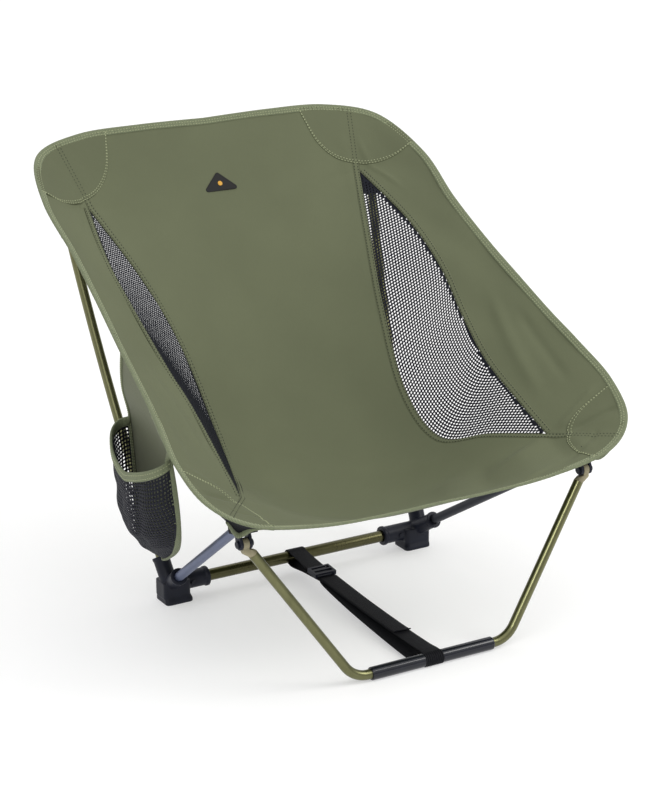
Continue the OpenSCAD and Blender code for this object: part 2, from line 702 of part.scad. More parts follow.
on_side(1) strut_cord();  // strut_cord_right
on_side(-1) connector();  // connector_left
on_side(1) connector();  // connector_right
on_side(-1) hinge_pin();  // hinge_pin_left
on_side(1) hinge_pin();  // hinge_pin_right
pin_washers();
on_side(-1) leg();  // leg_left
on_side(1) leg();  // leg_right
on_side(-1) leg_knuckle();  // leg_knuckle_left
on_side(1) leg_knuckle();  // leg_knuckle_right
leg_ferrule();
leg_cord();
ground_sleeve();
strap();
strap_slider();
seat_center();
on_side(-1) seat_side();  // seat_side_left
on_side(1) seat_side();  // seat_side_right
on_side(-1) mesh_panel();  // mesh_left
on_side(1) mesh_panel();  // mesh_right
seat_edge_tape();
top_patches();
front_patches();
on_side(-1) top_pocket();  // top_pocket_left
on_side(1) top_pocket();  // top_pocket_right
on_side(-1) front_pocket();  // front_pocket_left
on_side(1) front_pocket();  // front_pocket_right
badge();
side_pocket_panel();
side_pocket_mesh();
side_pocket_rim();
side_pocket_tape();
side_pocket_loop();
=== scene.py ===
"""Looks of the ultralight backpacking chair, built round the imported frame. Shapes are in millimetres until put()."""

import math

import bmesh
import bpy
import numpy as np
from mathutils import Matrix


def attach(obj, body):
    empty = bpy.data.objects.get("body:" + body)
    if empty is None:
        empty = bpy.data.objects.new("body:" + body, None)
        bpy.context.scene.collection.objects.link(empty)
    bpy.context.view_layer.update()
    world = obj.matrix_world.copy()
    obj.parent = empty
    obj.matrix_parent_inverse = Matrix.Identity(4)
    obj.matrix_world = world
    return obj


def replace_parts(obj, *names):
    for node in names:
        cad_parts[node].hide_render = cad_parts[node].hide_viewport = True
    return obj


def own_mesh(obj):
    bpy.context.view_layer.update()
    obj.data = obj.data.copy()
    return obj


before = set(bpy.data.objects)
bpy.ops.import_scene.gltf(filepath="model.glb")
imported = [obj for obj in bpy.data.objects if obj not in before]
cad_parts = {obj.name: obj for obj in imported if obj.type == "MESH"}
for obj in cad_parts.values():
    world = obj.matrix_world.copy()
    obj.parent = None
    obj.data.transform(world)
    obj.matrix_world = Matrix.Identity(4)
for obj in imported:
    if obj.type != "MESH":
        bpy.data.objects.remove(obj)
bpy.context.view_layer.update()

MM = 0.001
SIDES = ((-1, "left"), (1, "right"))

# ---- Camera, floor and lights ---------------------------------------------

AZIMUTH, ELEVATION, DISTANCE = -30.6, 19.67, 3.069
TARGET = (0, -0.094, 0.25)
FRAME_HEIGHT, FOCAL_PIXELS = 800, 2381
HORIZON, ZENITH = 0.42, 1.42


def camera():
    data = bpy.data.cameras.new("camera")
    data.sensor_fit, data.sensor_height = "VERTICAL", 36
    data.lens = FOCAL_PIXELS / FRAME_HEIGHT * data.sensor_height
    data.shift_x, data.shift_y = -0.033, 0.0389
    a, e = math.radians(AZIMUTH), math.radians(ELEVATION)
    away = np.array([math.sin(a) * math.cos(e), -math.cos(a) * math.cos(e), math.sin(e)])
    eye = bpy.data.objects.new("camera", data)
    bpy.context.scene.collection.objects.link(eye)
    eye.location = np.array(TARGET) + DISTANCE * away
    eye.rotation_euler = (math.radians(90 - ELEVATION), 0, a)
    bpy.context.scene.camera = eye


def area_light(name, at, aim, size, power, color=(1, 1, 1), glints_only=False):
    data = bpy.data.lights.new(name, "AREA")
    data.shape, data.size, data.energy, data.color = "SQUARE", size, power, color
    lamp = bpy.data.objects.new(name, data)
    bpy.context.scene.collection.objects.link(lamp)
    lamp.location = at
    lamp.visible_diffuse = not glints_only
    way = np.array(aim, float) - np.array(at, float)
    across = math.hypot(way[0], way[1])
    lamp.rotation_euler = (math.atan2(across, -way[2]), 0, math.atan2(way[1], way[0]) - math.pi / 2)


def studio():
    world = bpy.data.worlds.new("studio")
    world.use_nodes = True
    nodes, links = world.node_tree.nodes, world.node_tree.links
    split, dome = nodes.new("ShaderNodeSeparateXYZ"), nodes.new("ShaderNodeMapRange")
    links.new(nodes.new("ShaderNodeTexCoord").outputs["Generated"], split.inputs[0])
    links.new(split.outputs["Z"], dome.inputs["Value"])
    dome.inputs["To Min"].default_value, dome.inputs["To Max"].default_value = HORIZON, ZENITH
    links.new(dome.outputs[0], nodes["Background"].inputs["Strength"])
    nodes["Background"].inputs["Color"].default_value = (1, 1, 1, 1)
    bpy.context.scene.world = world
    bpy.context.scene.view_settings.view_transform = "Standard"
    area_light("key", (2.2, -1.7, 2.2), (0, 0, 0.2), 1.4, 34, (1, 0.99, 0.96))
    area_light("fill", (-2.2, -1.6, 1.6), (0, 0, 0.25), 1.6, 5, (0.96, 0.98, 1))
    area_light("glint", (-1.9, -2.7, 2.3), (0, -0.1, 0.1), 0.45, 26, glints_only=True)
    bpy.ops.mesh.primitive_plane_add(size=30, location=(0, 0, 0))
    floor = bpy.context.object
    floor.name = "floor"
    floor.data.materials.append(plain("floor", (0.6, 0.6, 0.6), 0.95, Specular_IOR_Level=0.0,
                                      Emission_Color=(1, 1, 1, 1), Emission_Strength=0.42))


# ---- Node helpers ---------------------------------------------------------


def srgb(r, g, b):
    """Linear colour of 8-bit sRGB values."""
    return tuple(((c / 255 + 0.055) / 1.055) ** 2.4 if c > 10 else c / 255 / 12.92 for c in (r, g, b))


def new_material(name, color, roughness, **sockets):
    material = bpy.data.materials.new(name)
    material.use_nodes = True
    shader = material.node_tree.nodes["Principled BSDF"]
    shader.inputs["Base Color"].default_value = (*color, 1)
    shader.inputs["Roughness"].default_value = roughness
    for socket, value in sockets.items():
        shader.inputs[socket.replace("_", " ")].default_value = value
    return material, shader


def plain(name, color, roughness, **sockets):
    return new_material(name, color, roughness, **sockets)[0]


class Tree:
    """Short ways to add and link the nodes of one material."""

    def __init__(self, material):
        self.nodes, self.links = material.node_tree.nodes, material.node_tree.links
        self.coordinates = self.nodes.new("ShaderNodeTexCoord")

    def link(self, source, target):
        self.links.new(source, target)

    def math(self, operation, *values):
        node = self.nodes.new("ShaderNodeMath")
        node.operation = operation
        for socket, value in zip(node.inputs, values):
            if isinstance(value, (int, float)):
                socket.default_value = value
            else:
                self.link(value, socket)
        return node.outputs[0]

    def noise(self, scale, detail=3.0, where="Object", stretch=(1, 1, 1)):
        mapping = self.nodes.new("ShaderNodeMapping")
        mapping.inputs["Scale"].default_value = stretch
        self.link(self.coordinates.outputs[where], mapping.inputs["Vector"])
        node = self.nodes.new("ShaderNodeTexNoise")
        node.inputs["Scale"].default_value = scale
        node.inputs["Detail"].default_value = detail
        self.link(mapping.outputs[0], node.inputs["Vector"])
        return node.outputs["Fac"]

    def threads(self, axis, pitch):
        """0 to 1 ripple across threads that lie pitch metres apart along a UV axis."""
        split = self.nodes.new("ShaderNodeSeparateXYZ")
        self.link(self.coordinates.outputs["UV"], split.inputs[0])
        wave = self.math("SINE", self.math("MULTIPLY", split.outputs[axis], 2 * math.pi / pitch))
        return self.math("MULTIPLY_ADD", wave, 0.5, 0.5)

    def tint(self, shader, factor, span, color, low, high):
        """Base colour from low to high times a colour, as the factor goes across the span."""
        node = self.nodes.new("ShaderNodeValToRGB")
        for element, position, share in zip(node.color_ramp.elements, span, (low, high)):
            element.position, element.color = position, (*(c * share for c in color), 1)
        self.link(factor, node.inputs["Fac"])
        self.link(node.outputs["Color"], shader.inputs["Base Color"])

    def bump(self, shader, height, strength, distance):
        node = self.nodes.new("ShaderNodeBump")
        node.inputs["Strength"].default_value = strength
        node.inputs["Distance"].default_value = distance
        self.link(height, node.inputs["Height"])
        self.link(node.outputs["Normal"], shader.inputs["Normal"])


# ---- Materials ------------------------------------------------------------


def woven(name, color, pitch, roughness=0.75, sheen=0.04, weave=0.5, mottle=0.05):
    """Plain-weave cloth: fine crossing threads, slubs and a soft mottle."""
    material, shader = new_material(name, color, roughness, Sheen_Weight=sheen, Sheen_Roughness=0.45,
                                    Specular_IOR_Level=0.22)
    tree = Tree(material)
    warp, weft = tree.threads(0, pitch), tree.threads(1, pitch)
    slubs = tree.noise(900, 2, "UV", (1, 0.12, 1))
    patchy = tree.noise(9, 4)
    tone = tree.math("ADD", tree.math("MULTIPLY", patchy, 0.75), tree.math("MULTIPLY", slubs, 0.25))
    tree.tint(shader, tone, (0.25, 0.75), color, 1 - 1.6 * mottle, 1 + 1.6 * mottle)
    cross = tree.math("MAXIMUM", warp, weft)
    tree.bump(shader, tree.math("ADD", tree.math("MULTIPLY", cross, weave), tree.math("MULTIPLY", slubs, 0.5)),
              0.35, 0.00025)
    return material


def ribbed(name, color, pitch, roughness=0.8, sheen=0.1):
    """Binding tape and webbing: ribs across the tape with fuzzy thread ends."""
    material, shader = new_material(name, color, roughness, Sheen_Weight=sheen, Sheen_Roughness=0.5,
                                    Specular_IOR_Level=0.2)
    tree = Tree(material)
    ribs = tree.threads(1, pitch)
    fuzz = tree.noise(620, 4)
    grain = tree.math("ADD", tree.math("MULTIPLY", ribs, 0.6), tree.math("MULTIPLY", fuzz, 0.8))
    tree.tint(shader, grain, (0.35, 0.95), color, 0.55, 1.35)
    tree.bump(shader, grain, 0.8, 0.0005)
    return material


def anodised(name, color, roughness, scratch=0.05):
    """Satin anodised tube with a drawn grain along it and slight wear."""
    material, shader = new_material(name, color, roughness, Metallic=1.0, Coat_Weight=0.12, Coat_Roughness=0.25)
    tree = Tree(material)
    grain = tree.noise(260, 4, "Object", (1, 0.2, 0.2))
    cloud = tree.noise(24, 3)
    wear = tree.math("ADD", tree.math("MULTIPLY", grain, 0.5), tree.math("MULTIPLY", cloud, 0.5))
    tree.tint(shader, wear, (0.3, 0.7), color, 0.86, 1.14)
    tree.link(tree.math("MULTIPLY_ADD", wear, 2 * scratch, roughness - scratch), shader.inputs["Roughness"])
    tree.bump(shader, grain, 0.12, 0.0001)
    return material


def moulded(name, color, roughness, grain=0.2, shine=0.25):
    """Moulded nylon: fine spark-eroded grain and faint flow marks."""
    material, shader = new_material(name, color, roughness, Specular_IOR_Level=shine)
    tree = Tree(material)
    pits = tree.noise(2600, 2)
    flow = tree.noise(45, 3)
    tree.tint(shader, flow, (0.3, 0.7), color, 0.8, 1.25)
    tree.bump(shader, pits, grain, 0.0002)
    return material


OLIVE = srgb(97, 102, 77)
MAT = {
    "seat": woven("seat_fabric", OLIVE, 0.0009),
    "patch": woven("patch_fabric", tuple(c * 0.94 for c in OLIVE), 0.0009),
    "panel": woven("pocket_fabric", srgb(98, 102, 80), 0.0009),
    "tape": ribbed("edge_tape", srgb(114, 121, 94), 0.0016),
    "thread": plain("thread", srgb(158, 164, 128), 0.6),
    "dark_thread": plain("dark_thread", srgb(36, 40, 24), 0.8),
    "mesh": woven("net", srgb(12, 15, 28), 0.0006, 0.6, 0.0),
    "webbing": ribbed("webbing", srgb(11, 12, 18), 0.0013, 0.7, 0.0),
    "pole": anodised("pole_metal", srgb(110, 110, 78), 0.3),
    "crossbar": anodised("crossbar_metal", srgb(84, 82, 56), 0.28),
    # The two front struts are one part: the left one's lighter bluish grey is a painted sky reflection, the right
    # one's dark grey is painted shade.
    "strut_left": anodised("strut_left_painted_sky_reflection_metal", srgb(98, 107, 134), 0.5),
    "strut_right": anodised("strut_right_painted_shade_metal", srgb(58, 60, 66), 0.5),
    "metal": anodised("bare_metal", srgb(190, 190, 186), 0.32),
    "fitting": moulded("fitting_nylon", srgb(138, 131, 106), 0.5, 0.15),
    "nylon": moulded("hub_nylon", srgb(20, 23, 36), 0.45),
    "gloss": moulded("sleeve_gloss", srgb(14, 17, 28), 0.12, 0.03, 0.5),
    "cord": ribbed("shock_cord", srgb(200, 200, 192), 0.001),
    "badge": moulded("badge_rubber", srgb(18, 18, 18), 0.55, 0.35),
    "amber": plain("badge_amber", srgb(206, 152, 40), 0.5),
}


def dress_frame():
    """A better material on every carried-over CAD node."""
    looks = {
        "pole": ["rear_pole_lower", "rear_pole_upper", "leg"],
        "metal": ["rear_ferrule", "strut_ferrule"],
        "fitting": ["leg_knuckle"],
        "nylon": ["hub", "pole_tip", "connector", "hinge_pin"],
        "cord": ["rear_cord", "strut_cord"],
        "webbing": ["top_pocket", "front_pocket"],
    }
    single = {"crossbar": "crossbar", "crossbar_rivets": "nylon", "leg_ferrule": "metal", "leg_cord": "cord",
              "pin_washers": "nylon", "ground_sleeve": "gloss", "strap": "webbing", "strap_slider": "nylon",
              "side_pocket_loop": "webbing"}
    for _, side in SIDES:
        for look, names in looks.items():
            single.update({f"{name}_{side}": look for name in names})
        # Each strut takes its side's colour: painted sky reflection on the left, painted shade on the right.
        for part in ("lower", "upper"):
            single[f"strut_{part}_{side}"] = f"strut_{side}"
    for name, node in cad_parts.items():
        node.data.materials.clear()
        node.data.materials.append(MAT[single.get(name, "seat")])


# ---- Mesh helpers ---------------------------------------------------------


def face_outward(mesh, weld=0.0):
    """Turns the faces of each closed shell outward, after joining points that lie within weld metres."""
    work = bmesh.new()
    work.from_mesh(mesh)
    if weld:
        bmesh.ops.remove_doubles(work, verts=work.verts, dist=weld)
        bmesh.ops.dissolve_degenerate(work, edges=work.edges, dist=weld / 4)
    bmesh.ops.recalc_face_normals(work, faces=work.faces)
    work.to_mesh(mesh)
    work.free()
    mesh.update()


def put(name, verts, faces, material, body, uvs=None, smooth=True):
    """Makes a piece from millimetre points, rides it on a body and gives it its material."""
    mesh = bpy.data.meshes.new(name)
    mesh.from_pydata((np.asarray(verts, float) * MM).tolist(), [], [tuple(map(int, f)) for f in faces])
    if uvs is not None:
        layer = mesh.uv_layers.new(name="cloth")
        corners = np.zeros(len(mesh.loops), np.int32)
        mesh.loops.foreach_get("vertex_index", corners)
        layer.data.foreach_set("uv", (np.asarray(uvs, float)[corners] * MM).ravel())
    mesh.polygons.foreach_set("use_smooth", [smooth] * len(mesh.polygons))
    mesh.materials.append(MAT[material])
    face_outward(mesh)
    piece = bpy.data.objects.new(name, mesh)
    bpy.context.scene.collection.objects.link(piece)
    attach(piece, body)
    return piece


def unit(v):
    return v / np.maximum(np.linalg.norm(v, axis=-1, keepdims=True), 1e-9)


def distances_along(path):
    """Length from the start of a path, or of each column of a grid, to each of its points."""
    return np.cumsum(np.linalg.norm(np.diff(path, axis=0, prepend=path[:1]), axis=-1), axis=0)


def distances_across(grid):
    return distances_along(grid.swapaxes(0, 1)).T


def grid_normals(grid):
    return unit(np.cross(np.gradient(grid, axis=0), np.gradient(grid, axis=1)))


def grid_uvs(grid):
    """Flat lengths across and along a grid, for weaves."""
    across = distances_across(grid)
    return np.stack([across - across[:, across.shape[1] // 2][:, None], distances_along(grid)], -1)


def sheet_shell(top, normals, thickness):
    """Closed thin shell between a grid and the same grid moved down its normals; returns points, faces and UVs."""
    n, m = top.shape[:2]
    bottom = top - normals * thickness
    points = np.concatenate([top.reshape(-1, 3), bottom.reshape(-1, 3)])
    index = np.arange(n * m).reshape(n, m)
    upper = np.stack([index[:-1, :-1], index[:-1, 1:], index[1:, 1:], index[1:, :-1]], -1).reshape(-1, 4)
    lower = upper[:, ::-1] + n * m
    ring = np.concatenate([index[0, :-1], index[:-1, -1], index[-1, :0:-1], index[:0:-1, 0]])
    after = np.roll(ring, -1)
    walls = np.stack([after, ring, ring + n * m, after + n * m], -1)
    flat = grid_uvs(top).reshape(-1, 2)
    return points, np.concatenate([upper[:, ::-1], lower[:, ::-1], walls[:, ::-1]]), np.concatenate([flat, flat])


# ---- Seat surface, as the CAD model has it --------------------------------

MIDDLE = [[0, 308, 584], [0, 246, 493], [0, 176, 393], [0, 106, 301], [0, 36, 218], [0, -34, 161],
          [0, -119, 148], [0, -204, 172], [0, -300, 220]]
HALFWAY = [[123, 307, 585], [105, 244, 495], [90, 171, 401], [78, 100, 312], [74, 32, 229], [76, -38, 173],
           [95, -123, 168], [112, -206, 190], [125, -305, 223]]
MESH_INNER = [[209, 237, 499], [178, 154, 424], [156, 83, 346], [146, 10, 252], [155, -64, 205],
              [189, -135, 225], [224, -210, 242]]
MESH_OUTER = [[209, 237, 499], [227, 137, 449], [228, 54, 401], [221, -14, 349], [215, -80, 307],
              [219, -145, 273], [224, -210, 242]]
EDGE = [[0, 308, 584], [100, 307, 586], [190, 306, 583], [262, 277, 567], [289, 196, 526], [288, 116, 479],
        [292, 36, 435], [298, -34, 399], [303, -99, 367], [309, -159, 339], [316, -222, 305], [303, -277, 270],
        [255, -305, 243], [170, -307, 227], [85, -303, 221], [0, -300, 220]]
ROWS, SEAM_TOP, SEAM_FRONT = 8, 2.5, 11.45
EDGE_END = len(EDGE) - 1
CLOTH = 1.2


def curve(knots, t):
    """Catmull-Rom curve through the knots, at many t at once."""
    knots, t = np.asarray(knots, float), np.asarray(t, float)
    n = len(knots) - 1
    i = np.clip(np.floor(t).astype(int), 0, n - 1)
    u = (t - i)[..., None]
    a, b, c, d = knots[np.maximum(i - 1, 0)], knots[i], knots[i + 1], knots[np.minimum(i + 2, n)]
    return 0.5 * (2 * b + (c - a) * u + (2 * a - 5 * b + 4 * c - d) * u**2 + (3 * b - a - 3 * c + d) * u**3)


def hermite(a, ta, b, tb, t):
    return (a * (2 * t**3 - 3 * t**2 + 1) + ta * (t**3 - 2 * t**2 + t)
            + b * (3 * t**2 - 2 * t**3) + tb * (t**3 - t**2))


def mix(a, b, t):
    return a + (b - a) * t


def mirror(points):
    return points * np.array([-1, 1, 1])


def mirrored_where(negative, points):
    return np.where(negative[..., None], mirror(points), points)


def paired(a, b):
    return np.broadcast_arrays(np.asarray(a, float), np.asarray(b, float))


def edge(t):
    return mirrored_where(np.asarray(t) < 0, curve(EDGE, np.abs(t)))


def inner_seam(v):
    v = np.asarray(v, float)
    head = mix(edge(np.array(SEAM_TOP)), np.array(MESH_INNER[0], float), v[..., None])
    tail = mix(np.array(MESH_INNER[-1], float), edge(np.array(SEAM_FRONT)), v[..., None] - ROWS + 1)
    body = curve(MESH_INNER, np.clip(v - 1, 0, ROWS - 2))
    return np.where(v[..., None] <= 1, head, np.where(v[..., None] >= ROWS - 1, tail, body))


def outer_seam(v):
    v = np.asarray(v, float)
    body = curve(MESH_OUTER, np.clip(v - 1, 0, ROWS - 2))
    return np.where((v[..., None] <= 1) | (v[..., None] >= ROWS - 1), inner_seam(v), body)


def cross_section(s, v):
    c, m, a, b, e = curve(MIDDLE, v), curve(HALFWAY, v), inner_seam(v), outer_seam(v), edge(3 + v)
    turn = unit(unit(a - m) + unit(e - b))
    level = np.concatenate([m[..., :1], 0 * m[..., :2]], -1)
    near = hermite(c, level, m, (a - c) / 2, 2 * s[..., None])
    far = hermite(m, (a - c) / 2, a, turn * np.linalg.norm(a - m, axis=-1, keepdims=True), 2 * s[..., None] - 1)
    wing = hermite(b, turn * np.linalg.norm(e - b, axis=-1, keepdims=True), e, e - b, s[..., None] - 1)
    return np.where(s[..., None] <= 0.5, near, np.where(s[..., None] <= 1, far, wing))


def seat_half(s, v):
    top = edge(np.where(s <= 1, s * SEAM_TOP, mix(SEAM_TOP, 3, s - 1)))
    front = edge(np.where(s <= 1, mix(EDGE_END, SEAM_FRONT, s), mix(SEAM_FRONT, 11, s - 1)))
    section = cross_section(s, v)
    head = section + ((1 - v) ** 2)[..., None] * (top - cross_section(s, 0 * v))
    tail = section + ((v - ROWS + 1) ** 2)[..., None] * (front - cross_section(s, 0 * v + ROWS))
    return np.where(v[..., None] < 1, head, np.where(v[..., None] > ROWS - 1, tail, section))


def seat(s, v):
    """Point of the seat's top face: s is 0 in the middle, 1 at the seam, 2 at the edge; v runs from 0 to ROWS."""
    s, v = paired(s, v)
    return mirrored_where(s < 0, seat_half(np.abs(s), v))


def upward(s, v):
    """Unit normal of the seat's top face."""
    s, v = paired(s, v)
    h = 0.01
    s0, v0 = np.clip(np.abs(s), h, 1.97), np.clip(v, 0.04, ROWS - 0.04)
    out = s0 >= 1
    ahead = seat_half(np.where(out, s0 + h, s0), v0) - seat_half(np.where(out, s0, s0 - h), v0)
    normal = unit(np.cross(ahead, seat_half(s0, v0 - h) - seat_half(s0, v0 + h)))
    return mirrored_where(s < 0, normal)


# Folds: both ends as (s, v) places, then width and height in millimetres
FOLDS = [((0.55, 7.9), (0.86, 6.9), 15, 5.2), ((0.76, 7.75), (0.97, 7.1), 6, -2.6),
         ((0.44, 7.5), (0.72, 6.5), 10, -3.4), ((0.86, 7.8), (1.0, 7.3), 5, 1.8),
         ((0.45, 7.86), (1.1, 7.62), 3.5, -1.6), ((0.3, 7.3), (0.56, 6.3), 13, 2.2),
         ((1.08, 7.3), (1.8, 7.55), 6, -2.4), ((1.1, 7.1), (1.8, 6.9), 8, 2.2),
         ((1.25, 6.3), (1.5, 4.0), 14, 2.6), ((1.6, 6.4), (1.7, 4.6), 10, -1.8),
         ((0.9, 0.4), (0.95, 1.4), 7, 1.2), ((1.05, 0.5), (1.35, 1.5), 7, 1.3),
         ((0.3, 1.2), (0.85, 0.9), 12, 0.9), ((0.2, 5.0), (0.8, 5.6), 16, 1.3)]
ACROSS, DOWN = 150, 90  # rough millimetres per unit of s and of v


def wrinkles(s, v):
    """Slack and folds of the stretched cloth, in millimetres along its normal."""
    slack = 0.7 * np.sin(5.1 * s + 1.3 * v + 0.6) * np.sin(1.7 * v - 0.8 * s) + 0.35 * np.sin(9 * s - 3.2 * v)
    lift = slack * np.clip(v / 0.6, 0, 1) * np.clip((ROWS - v) / 0.5, 0, 1)
    for (s0, v0), (s1, v1), width, height in FOLDS:
        for side in (-1, 1):
            ds, dv = (s * side - s0) * ACROSS, (v - v0) * DOWN
            run = np.array([(s1 - s0) * ACROSS, (v1 - v0) * DOWN])
            length = np.hypot(*run)
            along = (ds * run[0] + dv * run[1]) / length
            off = (ds * run[1] - dv * run[0]) / length
            past_end = np.maximum(np.abs(along / length - 0.5) - 0.3, 0)
            crest = np.exp(-(off / width) ** 2) * np.exp(-past_end ** 2 / 0.03)
            lift = lift + height * (1 if side > 0 else 0.6) * crest
    return lift


def cloth_grid(s, v):
    return seat(s, v) + upward(s, v) * wrinkles(s, v)[..., None]


PANEL_ROWS = 261


def seat_panel(name, s_from, s_to, columns, replaced):
    """One sewn panel of the seat: a thin closed shell with folds."""
    s, v = np.meshgrid(np.linspace(s_from, s_to, columns), np.linspace(0, ROWS, PANEL_ROWS))
    points, faces, uvs = sheet_shell(cloth_grid(s, v), upward(s, v), CLOTH)
    piece = put(name, points, faces, "seat", "seat", uvs)
    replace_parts(piece, replaced)
    cut_cloth(piece)


def cut_cloth(piece, area=None):
    """Reads a sheet's UV layout and face areas and works out its area in square metres: the given area, or, if it is
    None, half of the modelled surface, so that it can't differ from the surface. The width follows from the area
    where the layout is narrower than that.
    """
    corners = np.zeros(2 * len(piece.data.loops))
    piece.data.uv_layers[0].data.foreach_get("uv", corners)
    faces = np.zeros(len(piece.data.polygons))
    piece.data.polygons.foreach_get("area", faces)
    area = area or faces.sum() / 2


def sided(grid, side):
    """The same grid on the other side of the chair, still facing up."""
    return grid if side > 0 else mirror(grid)[:, ::-1]


def raised_band(name, s, v, heights, material, side, thickness=0.9):
    """Band of cloth laid on the seat along a grid of (s, v) places, with rolled edges."""
    top = sided(cloth_grid(s, v) + upward(s, v) * np.asarray(heights)[None, :, None], side)
    points, faces, uvs = sheet_shell(top, grid_normals(top), thickness)
    return put(name, points, faces, material, "seat", uvs)


def places_beside(v, distances, outward):
    """(s, v) places at distances in mm from the seam, on the wing side if outward."""
    v = np.asarray(v)[:, None] + np.zeros((1, len(distances)))
    step = 0.02
    s0 = np.full(v.shape, 1.0002 if outward else 0.9998)
    s1 = s0 + (step if outward else -step)
    reach = np.linalg.norm(seat(s1, v) - seat(s0, v), axis=-1) / step
    s = s0 + (1 if outward else -1) * np.asarray(distances)[None, :] / reach
    return (np.maximum(s, 1.0001) if outward else np.minimum(s, 0.9999)), v


def stitch_row(points, normals, pitch=4.2, length=2.7, radius=0.5, sink=0.22):
    """Thread stitches along a path: short tapered beads a pitch apart; returns points and faces."""
    steps = distances_along(points)
    count = int(steps[-1] // pitch)
    mids = (np.arange(count) + 0.5) * steps[-1] / count

    def at(where, values):
        return np.stack([np.interp(where, steps, values[:, k]) for k in range(3)], -1)

    up = unit(at(mids, normals))
    ahead = unit(at(mids + 0.4, points) - at(mids - 0.4, points))
    side = unit(np.cross(ahead, up))
    center = at(mids, points)
    rings = []
    for place, size, height in ((-0.5, 0.35, -0.5), (-0.3, 1, 0.35), (0.3, 1, 0.35), (0.5, 0.35, -0.5)):
        middle = center + ahead * place * length + up * (height * radius - sink)
        rings.append(np.stack([middle + radius * size * (math.cos(a) * side + math.sin(a) * up)
                               for a in np.arange(5) * 2 * math.pi / 5], 1))
    verts = np.stack(rings, 1).reshape(-1, 3)
    index = np.arange(20).reshape(4, 5)
    after = np.roll(index, -1, 1)
    faces = np.stack([index[:-1], after[:-1], after[1:], index[1:]], -1).reshape(-1, 4)
    return verts, (faces + 20 * np.arange(count)[:, None, None]).reshape(-1, 4)


class Threads:
    """Gathers the seat's stitch rows of one colour into one piece."""

    def __init__(self):
        self.points, self.faces, self.total = [], [], 0

    def add(self, points, normals, **shape):
        verts, quads = stitch_row(points, normals, **shape)
        self.points.append(verts)
        self.faces.append(quads + self.total)
        self.total += len(verts)

    def finish(self, name, material):
        put(name, np.concatenate(self.points), np.concatenate(self.faces), material, "seat")


light_threads, dark_threads = Threads(), Threads()


def seat_rows(threads, s, v, lift, **shape):
    """One stitch row over the seat through (s, v) places, on both sides of the chair."""
    normals = upward(s, v)
    points = cloth_grid(s, v) + normals * lift
    threads.add(points, normals, **shape)
    threads.add(mirror(points), mirror(normals), **shape)


def seams():
    """Felled seams along both edges of the mesh panels, with two stitch rows each."""
    v = np.linspace(0.04, ROWS - 0.04, 300)
    middle = v[(v > 0.98) & (v < ROWS - 0.98)]
    for side, word in SIDES:
        s, vv = places_beside(v, [8.8, 8.4, 6, 3, 0.4, -0.2], False)
        raised_band(f"inner_seam_{word}", s, vv, [0.02, 0.55, 0.7, 0.7, 0.6, 0.1], "seat", side)
        s, vv = places_beside(middle, [-0.4, 0.2, 2.5, 5.5, 7.6, 8.0], True)
        raised_band(f"outer_seam_{word}", s, vv, [0.1, 0.6, 0.7, 0.7, 0.55, 0.02], "seat", side)
    for distance, rows, outward in ((1.7, v, False), (7.0, v, False), (1.6, middle, True), (6.4, middle, True)):
        s, vv = places_beside(rows, [distance], outward)
        seat_rows(dark_threads, s[:, 0], vv[:, 0], 0.72, pitch=4.6, radius=0.6)


def net(name, corner, rows, columns, width_at, pitch, hole, thickness, replaced):
    """Real open net. corner(distance, row) maps cell corners to points and normals; cells past width_at stay solid."""
    ring = np.array([[-1, -1], [0, -1], [1, -1], [1, 0], [1, 1], [0, 1], [-1, 1], [-1, 0]]) / 2
    angles = np.radians([225, 270, 315, 0, 45, 90, 135, 180])
    inner = hole / 2 * np.stack([np.cos(angles), np.sin(angles)], -1)
    i, j = (cell.ravel() for cell in np.meshgrid(np.arange(rows), np.arange(columns), indexing="ij"))
    keep = j * pitch < width_at(i + 0.5) - 0.15 * pitch
    i, j = i[keep], j[keep]
    limit = np.stack([width_at(i), width_at(i + 0.5), width_at(i + 1)], -1)
    outer_x = (j[:, None] + 0.5 + ring[None, :, 0]) * pitch
    outer_y = i[:, None] + 0.5 + ring[None, :, 1]
    which = np.round((ring[:, 1] + 0.5) * 2).astype(int)
    outer_x = np.minimum(outer_x, limit[:, which])
    center_x, open_cell = (j + 0.5) * pitch, (j + 1) * pitch <= limit.min(1) + 0.02
    there = np.zeros((rows + 2, columns + 2), bool)
    there[i + 1, j + 1] = True
    inner_x = center_x[:, None] + inner[None, :, 0] * pitch
    inner_y = i[:, None] + 0.5 + inner[None, :, 1]
    inner_x = np.where(open_cell[:, None], inner_x, np.minimum(center_x, limit[:, 1])[:, None])
    inner_y = np.where(open_cell[:, None], inner_y, (i + 0.5)[:, None])
    x = np.concatenate([outer_x, inner_x], 1)
    y = np.concatenate([outer_y, inner_y], 1)
    points, normals = corner(x.ravel(), y.ravel())
    cells = len(i)
    verts = np.concatenate([points + normals * thickness / 2, points - normals * thickness / 2])
    base = 16 * np.arange(cells)[:, None]
    faces = []
    for k in range(8):
        nxt = (k + 1) % 8
        a, b, c, d = base + k, base + nxt, base + 8 + nxt, base + 8 + k
        faces.append(np.concatenate([a, d, c, b], 1))
        faces.append(np.concatenate([a, b, c, d], 1) + 16 * cells)
        wall = np.concatenate([d, d + 16 * cells, c + 16 * cells, c], 1)
        faces.append(wall[open_cell])
        row_step, column_step = ((-1, 0), (0, 1), (1, 0), (0, -1))[k // 2]
        on_rim = ~there[i + 1 + row_step, j + 1 + column_step]
        faces.append(np.concatenate([b, a, a + 16 * cells, b + 16 * cells], 1)[on_rim])
    faces = np.concatenate(faces)
    uvs = np.concatenate([np.stack([x.ravel(), y.ravel() * pitch], -1)] * 2)
    piece = put(name, verts, faces, "mesh", "seat", uvs)
    face_outward(piece.data, 0.02 * MM)
    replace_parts(piece, replaced)
    cut_cloth(piece, cells * (pitch * MM) ** 2)


